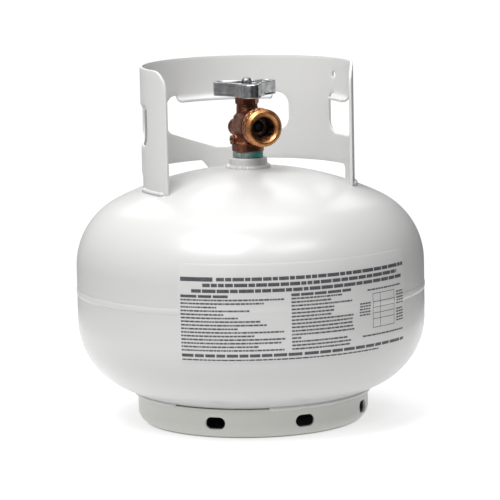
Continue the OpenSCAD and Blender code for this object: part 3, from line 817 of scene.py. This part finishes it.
# ---------------------------------------------------------------- label: film and plain printed blocks

LABEL_MID, LABEL_SPAN, LABEL_LOW, LABEL_HIGH, LABEL_T = -86.4, 83.0, 77.5, 162.0, 0.3
LABEL_HALF = math.radians(LABEL_SPAN) * SHELL_R / 2
MARGIN, SMALL_PITCH = 2.5, 3.1


def shell_radius(z):
    skirt = UPPER_SKIRT if z > SEAM_Z else LOWER_SKIRT
    z = abs(z - SEAM_Z)
    if z > skirt:
        return KNUCKLE_X + math.sqrt(max(0.0, KNUCKLE_R**2 - (z - skirt) ** 2))
    r = SHELL_R
    if z < 5:
        r += BEAD_H * (0.5 + 0.5 * math.cos(math.pi * z / 5)) * 0.96
    return r


def label_place(u, v, w):
    a = math.radians(LABEL_MID) + u / SHELL_R
    r = shell_radius(v) + LABEL_T - w
    return r * math.cos(a), r * math.sin(a), v


def label_sheet():
    corners = [(x, y, 5) for x, y in ((-1, LABEL_LOW), (1, LABEL_LOW), (1, LABEL_HIGH), (-1, LABEL_HIGH))]
    edge = refine(rounded([(x * LABEL_HALF, y, r) for x, y, r in corners], 8), 2.5)
    near_seam = (-5, -3.7, -2.4, -1.1, 1.1, 2.4, 3.7, 5)
    seam_rows = [(u, SEAM_Z + d) for u in np.arange(-LABEL_HALF + 2, LABEL_HALF - 1, 3.4) for d in near_seam]
    bm = bmesh.new()
    sheet_mesh(bm, [edge], LABEL_T + 0.02, 0.08, (3.4, 3.0), label_place, [seam_rows])
    finish_mesh("label_film", bm, "cylinder", film, ["label"], 50)


def ink_block(bm, u0, u1, v0, v1):
    """A printed block that stands 0.035 mm proud of the film."""
    n, m = max(1, math.ceil((u1 - u0) / 5)), max(1, math.ceil((v1 - v0) / 2.0))
    rows = []
    for u in np.linspace(u0, u1, n + 1):
        top = [label_place(u, v, -0.035) for v in np.linspace(v0, v1, m + 1)]
        low = [label_place(u, v, 0.12) for v in np.linspace(v1, v0, m + 1)]
        rows.append(top + low)
    made = grid_mesh(bm, rows)
    for end in (made[0], made[-1]):
        for j in range(m):
            bm.faces.new([end[j], end[j + 1], end[-2 - j], end[-1 - j]])


def text_row(bm, rnd, u0, u1, v, height, words, space):
    """A row of plain blocks that stands for a line of print."""
    u = u0
    while u < u1 - 1.2:
        w = min(rnd.uniform(*words), u1 - u)
        if w > 0.8:
            ink_block(bm, u, u + w, v - height / 2, v + height / 2)
        u += w + space


def label_panel(bm, rnd, left, right):
    """A plain framed panel with rows of blocks beside it."""
    frame_left, frame_right = left + 8, right - 14
    for v in (128, 121, 106, 98.5, 111, 116):
        ink_block(bm, frame_left, frame_right, v, v + 0.5)
    for u in (frame_left, left + 17, frame_right - 0.5):
        ink_block(bm, u, u + 0.5, 98.5, 128.4)
    for i in range(5):
        for start, end, v in ((left - 7, left + 5, 121), (right - 11, right, 126), (right - 11, right, 111)):
            text_row(bm, rnd, start, end, v - 2.5 * i, 1.3, (2, 4), 0.6)
    text_row(bm, rnd, left + 2, right - 4, 132, 1.4, (2, 5), 0.6)
    text_row(bm, rnd, left - 4, right, 92.5, 1.4, (2, 5), 0.6)


def label_blocks():
    """Three headline rows, two columns of small rows, the panel and two closing rows."""
    rnd = random.Random(7)
    bm = bmesh.new()
    left, right = MARGIN - LABEL_HALF, LABEL_HALF - MARGIN
    column = left + 96
    ink_block(bm, left, left + 29, 147.4, 151.0)
    headlines = ((left + 32, right, 149.2), (left + 20, right - 11, 144.2), (left + 10, right - 4, 139.2))
    for start, end, v in headlines:
        text_row(bm, rnd, start, end, v, 3.0, (4, 13), 0.9)
    text_row(bm, rnd, left, left + 42, 134.6, 2.4, (9, 15), 1.2)
    text_row(bm, rnd, column, column + 56, 134.6, 2.4, (7, 13), 1.2)
    left_rows = (0.99, 0.8, 0.35, 0.66, 0.42, 0.55, 0.76, 0.82, 0.56, 0.98, 0.7, 0.99, 0.97, 0.74, 0.98)
    right_rows = (0.78, 0.6, 0.95, 0.66, 0.64, 0.62, 0.98, 0.97, 0.97, 0.96, 0.98, 0.16, 0.86, 0.92, 0.9)
    for start, width, rows in ((left, 91, left_rows), (column, 60, right_rows)):
        for i, share in enumerate(rows):
            text_row(bm, rnd, start, start + share * width, 131.4 - SMALL_PITCH * i, 1.5, (1.2, 4.5), 0.5)
    text_row(bm, rnd, left, left + 105, 83.4, 2.7, (7, 15), 1.2)
    text_row(bm, rnd, left + 107, right, 83.4, 2.7, (7, 15), 1.2)
    text_row(bm, rnd, left, right - 36, 79.6, 1.3, (2, 6), 0.6)
    label_panel(bm, rnd, left + 168, right - 1)
    finish_mesh("label_print", bm, "cylinder", ink, [], 40)


label_sheet()
label_blocks()

# ---------------------------------------------------------------- valve

# The forging ends and the turned barrel starts at CUT, along the outlet's axis
CUT = 26.9
BARREL_SIDES = 208
OUTSIDE_PITCH, INSIDE_PITCH, INSIDE_DEPTH = 5.08, 1.81, 0.95


def evaluated(obj):
    """The object's mesh with its modifiers; the object is removed."""
    bpy.context.view_layer.update()
    dg = bpy.context.evaluated_depsgraph_get()
    me = bpy.data.meshes.new_from_object(obj.evaluated_get(dg), depsgraph=dg)
    bpy.data.objects.remove(obj)
    return me


def loose(name, bm):
    me = bpy.data.meshes.new(name)
    bm.to_mesh(me)
    bm.free()
    obj = bpy.data.objects.new(name, me)
    scene.collection.objects.link(obj)
    return obj


def valve_forging():
    """The CAD's valve body with softened edges, cut off where the barrel is turned."""
    bm = bmesh.new()
    bm.from_mesh(nodes["valve_body"].data)
    bmesh.ops.remove_doubles(bm, verts=bm.verts, dist=1e-6)
    raw = loose("raw_forging", bm)
    remesh = raw.modifiers.new("voxels", "REMESH")
    remesh.mode, remesh.voxel_size = "VOXEL", 0.00042
    smooth = raw.modifiers.new("soften", "SMOOTH")
    smooth.factor, smooth.iterations = 0.5, 5
    bm = bmesh.new()
    bm.from_mesh(evaluated(raw))
    at = Vector((0, 0, OUTLET_Z * 0.001)) + OUTWARD * CUT * 0.001
    everything = bm.verts[:] + bm.edges[:] + bm.faces[:]
    bmesh.ops.bisect_plane(bm, geom=everything, plane_co=at, plane_no=OUTWARD, clear_outer=True, dist=1e-7)
    cut_edges = [e for e in bm.edges if e.is_boundary]
    bmesh.ops.triangle_fill(bm, use_beauty=True, use_dissolve=False, edges=cut_edges)
    finish_mesh("valve_forging", bm, "cylinder", forged, ["valve_body"], 50)


def thread(phase, width):
    """Height of a thread's ridge, 0 to 1, over one pitch."""
    f = phase - np.floor(phase)
    up = np.clip((width / 2 - np.abs(f - 0.5)) / 0.13 + 0.5, 0, 1)
    return up * up * (3 - 2 * up)


def barrel_rows():
    """Coarse outside thread, chamfered mouth and fine inside thread of the other hand."""
    turn = np.arange(BARREL_SIDES) / BARREL_SIDES
    rows = []

    def ring(r, d):
        rows.append(round_row(np.broadcast_to(r, turn.shape), d, OUTLET))

    root = THREAD_R - 2.2
    ring(BORE_R + 0.4, CUT - 0.8)
    ring(root - 0.9, CUT - 0.8)
    for d in np.arange(CUT - 0.3, REACH - 1.49, 0.26):
        fade = np.clip((d - CUT + 0.2) / 2.2, 0, 1) ** 2
        cone = THREAD_R - max(0.0, d - (REACH - 2.3)) * 1.15
        r = np.minimum(root + (THREAD_R - root) * thread(d / OUTSIDE_PITCH - turn, 0.52) * fade, cone)
        if d > REACH - 4.2:
            r = np.maximum(r, min(cone, root + (d - REACH + 4.2) * 1.6))
        ring(r, d)
    mouth = [(THREAD_R - 1.6, REACH - 1.2, 0), (THREAD_R - 2.35, REACH, 0.5)]
    mouth += [(BORE_R + 2.3, REACH, 0.5), (BORE_R + 0.1, REACH - 2.4, 0)]
    for r, d in rounded(mouth, 22):
        ring(r, d)
    for d in np.arange(REACH - 2.6, CUT + 1.5, -0.2):
        fade = min(1.0, max(0.0, (REACH - 2.3 - d) / 0.8))
        ring(BORE_R - INSIDE_DEPTH * thread(d / INSIDE_PITCH + turn, 0.45) * fade, d)
    for r, d in ((BORE_R, CUT + 1.2), (BORE_R, CUT + 0.8), (8.6, CUT + 0.7), (8.6, CUT - 0.8)):
        ring(r, d)
    return rows


valve_forging()
skin("outlet_barrel", barrel_rows(), "cylinder", "machined_brass", machined, [], 38)

# Seal, retainer and check poppet inside the outlet, and the relief valve's end
seal = rounded([(8.45, 26.25, 0.3), (8.45, 27.7, 0.4), (6.0, 27.7, 0.6), (6.3, 26.25, 0.2)], 30)
lathe("outlet_seal_ring", seal, 72, "cylinder", "rubber", rubber, ["outlet_seal"], OUTLET)
retainer = [(8.45, 24.45, 0.2), (8.45, 26.2, 0.2), (5.9, 26.2, 0.5), (5.2, 25.4, 0.3), (5.2, 24.45, 0.2)]
lathe(
    "check_retainer_ring", rounded(retainer, 30), 72, "cylinder", "machined_brass", bonnet_brass,
    ["check_retainer"], OUTLET,
)
poppet = [(0, 27.4), (2.2, 27.4), (2.8, 27.15), (3, 26.8), (3, 24.6), (3.3, 24.25), (5.2, 24.2), (5.7, 23.9)]
poppet += [(5.9, 23.4), (5.9, 21.8), (5.5, 21.3), (2.4, 21.2), (2, 20.9), (2, 17.5), (1.6, 17), (0, 17)]
lathe(
    "check_poppet_body", poppet, 64, "outlet_check", "opd_plastic", check_plastic, ["check_poppet"], OUTLET
)
disc = rounded([(5.55, 25.8, 0.3), (5.55, 28.2, 0.4), (2.2, 28.2, 0.4), (2.2, 25.8, 0.2)], 30)
lathe(
    "relief_retainer_disc", disc, 64, "cylinder", "machined_brass", plain_brass, ["relief_retainer"], RELIEF
)

# ---------------------------------------------------------------- bonnet, bleeder and sealant

HEX_SIDES = 144


def spun(degrees):
    return np.array(Matrix.Rotation(math.radians(degrees), 4, "Z"))


def hex_rows(flats, sections, place):
    """Sections are (z, radius), or (z, limit, 1) for a hexagon cut by the limit, which makes chamfers."""
    ang = 2 * math.pi * np.arange(HEX_SIDES) / HEX_SIDES
    hexagon = flats / 2 / np.cos((ang + math.pi / 6) % (math.pi / 3) - math.pi / 6)
    rows = []
    for z, limit, *is_hex in sections:
        radii = np.minimum(hexagon, limit) if is_hex else np.full(HEX_SIDES, float(limit))
        rows.append(round_row(radii, z, place))
    return rows


def bonnet_nut():
    sections = [(270.6, 4.3), (270.6, 8.2), (271.2, 8.6), (280.4, 8.6), (280.6, 9.0), (280.9, 9.35)]
    sections += [(282.1, 9.35), (282.4, 9.0)]
    sections += [(282.45 + 0.2 * t, 9.3 + 0.42 * t, 1) for t in range(5)]
    sections += [(284.2, 20, 1), (287.2, 20, 1)]
    sections += [(287.5 + 1.4 * t, 10.9 - 1.7 * t**1.3, 1) for t in np.linspace(0, 1, 7)]
    sections += [(289.0, 8.6), (289.0, 5.4), (288.3, 4.3)]
    rows = hex_rows(18.6, sections, spun(CLOCK + 22))
    skin("bonnet_nut", rows, "cylinder", "brass", bonnet_brass, ["bonnet"], 32)


def bleeder_slotted_screw():
    line = [(2.55, 10.9, 0.3), (2.55, 13.75, 0), (4.15, 13.75, 0.35), (4.15, 15.95, 0.7)]
    line += [(0.001, 16, 0), (0.001, 10.9, 0)]
    bm = bmesh.new()
    grid_mesh(bm, turned(rounded(line, 22), 64, BLEEDER), close_v=True)
    bmesh.ops.remove_doubles(bm, verts=bm.verts, dist=5e-6)
    bmesh.ops.recalc_face_normals(bm, faces=bm.faces)
    screw = loose("raw_screw", bm)
    bm = bmesh.new()
    bmesh.ops.create_cube(bm, size=1)
    size = Matrix.Diagonal((12, 1.2, 3.4, 1))
    shape = Matrix(BLEEDER @ spun(28)) @ Matrix.Translation((0, 0, 16.5)) @ size
    for v in bm.verts:
        v.co = (shape @ v.co) * 0.001
    cutter = loose("slot_cutter", bm)
    slot = screw.modifiers.new("slot", "BOOLEAN")
    slot.operation, slot.solver, slot.object = "DIFFERENCE", "EXACT", cutter
    edge = screw.modifiers.new("edge", "BEVEL")
    edge.width, edge.segments, edge.limit_method, edge.angle_limit = 0.00018, 2, "ANGLE", math.radians(50)
    me = evaluated(screw)
    bpy.data.objects.remove(cutter)
    finish_object("bleeder_slotted_screw", me, "bleeder", bleeder_brass, ["bleeder_screw"], 35)


def sealant_band():
    """Thread sealant squeezed out in a lumpy band."""
    ang = 2 * math.pi * np.arange(180) / 180
    lump = wobble(ang, 31, ((3, 0.16), (7, 0.14), (12, 0.10), (19, 0.08), (31, 0.05)))
    rows = []
    for k in range(11):
        t = k / 10
        bulge = math.sin(math.pi * t) ** 0.45
        fine_lump = wobble(ang, 40 + k // 3, ((9, 0.05), (17, 0.05)))
        r = SHANK_R + 0.15 + (0.72 + 0.45 * lump + fine_lump) * bulge
        z = BOSS_TOP - 0.15 + (FLATS_Z - BOSS_TOP + 0.5) * t + (0.12 * lump if 0 < k < 10 else 0)
        rows.append(round_row(r, z))
    rows += turned([(SHANK_R * 0.99, FLATS_Z + 0.2), (SHANK_R * 0.99, BOSS_TOP - 0.15)], 180)
    skin("sealant_band", rows, "cylinder", "sealant", sealant, ["thread_sealant"], 60)


bonnet_nut()
bleeder_slotted_screw()
sealant_band()

# ---------------------------------------------------------------- handwheel

WHEEL_SIDES = 336
LOBE_R, CORNER_AT, CORNER_A = 8.9, 25.6, 19.5
VALLEY_AT, VALLEY_R = 61.3, 45.2


def plan_radius(grow):
    """Distance from the axis to the handwheel's outline in every direction."""
    ang = 2 * math.pi * np.arange(WHEEL_SIDES) / WHEEL_SIDES
    lo, hi = np.zeros(WHEEL_SIDES), np.full(WHEEL_SIDES, 40.0)
    third = (ang + math.pi / 3) % (2 * math.pi / 3) - math.pi / 3
    corner, next_corner = math.radians(CORNER_A), math.radians(120 - CORNER_A)
    cx, cy = (CORNER_AT + grow) * math.cos(corner), (CORNER_AT + grow) * math.sin(corner)
    dx = (CORNER_AT + grow) * math.cos(next_corner) - cx
    dy = (CORNER_AT + grow) * math.sin(next_corner) - cy
    vx, vy = VALLEY_AT / 2, VALLEY_AT * math.sin(math.pi / 3)
    for _ in range(36):
        r = (lo + hi) / 2
        x, y = r * np.cos(third), np.abs(r * np.sin(third))
        in_lobe = (x - (WHEEL_REACH - LOBE_R)) ** 2 + y**2 < (LOBE_R + grow) ** 2
        in_poly = (x < cx) & ((dx * (y - cy) - dy * (x - cx)) > 0)
        in_valley = (x - vx) ** 2 + (y - vy) ** 2 < (VALLEY_R - grow) ** 2
        ok = (in_lobe | in_poly) & ~in_valley
        lo, hi = np.where(ok, r, lo), np.where(ok, hi, r)
    kernel = np.array([1, 4, 6, 4, 1]) / 16
    return np.convolve(np.concatenate([lo[-2:], lo, lo[:2]]), kernel, "valid")


def handwheel_casting():
    """Rows that follow the outline, moved outward by their first number, with a round hub between them."""
    top = WHEEL_Z + WHEEL_H
    dish = top - DISH_DEPTH
    outside = arc(-1.1, top - 1.1, 1.1, 90, 0, 5) + [(0.0, top - 5), (-0.05, WHEEL_Z + 3)]
    outside += arc(-0.9, WHEEL_Z + 0.8, 0.8, 0, -90, 4)
    outside += [(-2.6, WHEEL_Z), (-3.0, WHEEL_Z + 0.4), (-3.2, WHEEL_Z + 5.0)]
    hub = [(8.6, WHEEL_Z + 5.0), (7.6, WHEEL_Z + 4.0), (7.5, WHEEL_Z + 0.5), (7.0, WHEEL_Z), (4.2, WHEEL_Z)]
    hub += [(4.1, WHEEL_Z + 2.4), (4.05, HUB_TOP - 0.4), (4.4, HUB_TOP), (6.8, HUB_TOP)]
    hub += arc(6.8, HUB_TOP - 0.7, 0.7, 90, 20, 4) + [(8.0, dish + 0.15), (9.5, dish), (11.0, dish)]
    lip = arc(-4.1, dish + 1.0, 1.0, -90, 0, 4) + arc(-2.3, top - 0.8, 0.8, 180, 90, 4)
    place = spun(CLOCK + WHEEL_CLOCK)
    rows = [round_row(plan_radius(grow), z, place) for grow, z in outside]
    rows += turned(hub, WHEEL_SIDES, place)
    rows += [round_row(plan_radius(grow), z, place) for grow, z in lip]
    skin("handwheel_casting", rows, "handwheel", "wheel", chrome, ["handwheel"], 40)


def handwheel_cap_nut():
    """Washer, short hexagon and low dome."""
    sections = [(0.02, 2.0), (0.02, 5.1), (0.3, 5.4), (0.8, 5.35), (1.05, 5.0), (1.1, 4.4, 1)]
    sections += [(1.4, 4.95, 1), (2.7, 4.95, 1), (2.9, 4.7, 1)]
    for a in np.radians(np.linspace(10, 90, 8)):
        sections.append((2.4 + 3.6 * math.sin(a), 4.5 * math.cos(a) ** 0.7))
    sections += [(4.4, 0.0), (4.4, 2.0)]
    rows = hex_rows(8.6, [(HUB_TOP + z, *rest) for z, *rest in sections], spun(CLOCK + 12))
    skin("handwheel_cap_nut", rows, "handwheel", "zinc_steel", nut_steel, ["handwheel_nut"], 32)


handwheel_casting()
handwheel_cap_nut()

# ---------------------------------------------------------------- CAD nodes that stay: procedural materials

kept = {
    "bonnet_washer": fibre, "relief_seal": rubber, "stem_rings": rubber, "seat_disc": rubber,
    "check_spring": spring_steel, "relief_spring": spring_steel, "relief_poppet": plain_brass,
    "dip_tube": plain_brass, "stem": plain_brass, "seat_holder": plain_brass, "opd_housing": acetal,
    "opd_piston": acetal, "float_arm": acetal, "float_pin": zinc, "float": float_plastic,
}
for name, obj in nodes.items():
    if name in kept and not obj.data.materials:
        obj.data.materials.append(kept[name])
    for slot in obj.material_slots:
        slot.link = "OBJECT"
        slot.material = kept.get(name, forged)

# ---------------------------------------------------------------- floor, light, camera

FLOOR_R, FLOOR_SIDES = 0.62, 96


def pale_disc():
    """The floor, which glows from the foot ring outward so that it is as pale as the background."""
    bm = bmesh.new()
    centre = bm.verts.new((0, 0, 0))
    turn = 2 * math.pi * np.arange(FLOOR_SIDES) / FLOOR_SIDES
    rings = []
    for r in (FLOOR_R * 0.4, FLOOR_R * 0.7, FLOOR_R):
        rings.append([bm.verts.new((r * math.cos(a), r * math.sin(a), 0)) for a in turn])
    for j in range(FLOOR_SIDES):
        k = (j + 1) % FLOOR_SIDES
        bm.faces.new([centre, rings[0][j], rings[0][k]])
        for a, b in zip(rings, rings[1:]):
            bm.faces.new([a[j], b[j], b[k], a[k]])
    look = Look("pale_floor", (0.45, 0.45, 0.45), 0.9, Specular_IOR_Level=0.1, Emission_Strength=0.62)
    look.fill(look.b, Emission_Color=look.ramp(look.distance(look.where), (0.0935, 0.0), (0.0965, 1.0)))
    look.colour(look.ramp(look.noise(3, 2), (0.3, 0.445), (0.7, 0.455)))
    disc = loose("floor", bm)
    disc.data.materials.append(look.m)
    return disc


floor = pale_disc()

# The surroundings: white where the camera sees them, and a soft studio for the light: bright above and to
# the left, dark to the right
world = bpy.data.worlds.new("studio")
scene.world = world
world.use_nodes = True
sky = Nodes(world.node_tree)
facing = sky.new("ShaderNodeSeparateXYZ", Vector=sky.new("ShaderNodeTexCoord").outputs["Generated"])


def by_direction(axis, *stops):
    """Brightness by direction along an axis, from -1 at 0 to 1 at 1."""
    return sky.ramp(sky.reckon("MULTIPLY_ADD", facing.outputs[axis], 0.5, 0.5), *stops)


across = by_direction("X", (0.0, 0.62), (0.35, 0.80), (0.62, 0.58), (0.80, 0.17), (1.0, 0.06))
upward = by_direction("Z", (0.0, 0.35), (0.42, 0.42), (0.60, 0.75), (0.85, 1.0))
behind_camera = by_direction("Y", (0.0, 0.2), (0.03, 0.4), (0.08, 1.0))
studio = sky.mix(1.0, sky.mix(1.0, across, upward, "MULTIPLY"), behind_camera, "MULTIPLY")
seen = sky.new("ShaderNodeLightPath").outputs["Is Camera Ray"]
sky.fill(sky.t.nodes["Background"], Color=sky.mix(seen, studio, (1, 1, 1)), Strength=1.05)


def softbox(name, place, aim, width, height, power):
    light = bpy.data.lights.new(name, "AREA")
    light.shape, light.size, light.size_y, light.energy = "RECTANGLE", width, height, power
    obj = bpy.data.objects.new(name, light)
    obj.location = place
    obj.rotation_mode = "QUATERNION"
    obj.rotation_quaternion = (Vector(aim) - Vector(place)).to_track_quat("-Z", "Y")
    scene.collection.objects.link(obj)


softbox("overhead", (0.1, 0.4, 2.6), (0, 0, 0.1), 1.6, 1.2, 16)
softbox("front_left", (-0.80, -0.80, 1.90), (0, 0, 0.15), 1.25, 0.95, 39)
softbox("front_right", (0.50, -1.28, 1.75), (0, 0, 0.15), 1.1, 0.45, 10)
softbox("back", (0.3, 1.7, 1.6), (0, 0, 0.2), 2.0, 0.8, 9)

# The camera is rolled, because the tank leans a little in the photo
PAN, DOWN, ROLL = -14.2, 8.508, -1.2
cam = bpy.data.cameras.new("camera")
cam.lens, cam.sensor_width = 234, 36
cam.clip_start, cam.clip_end = 0.1, 100
camera = bpy.data.objects.new("camera", cam)
view = Matrix.Rotation(math.radians(PAN), 4, "Z") @ Matrix.Rotation(math.radians(90 - DOWN), 4, "X")
view = view @ Matrix.Rotation(math.radians(ROLL), 4, "Z")
camera.matrix_world = Matrix.Translation((-0.704, -2.782, 0.5805)) @ view
scene.collection.objects.link(camera)
scene.camera = camera
scene.view_settings.view_transform = "Standard"
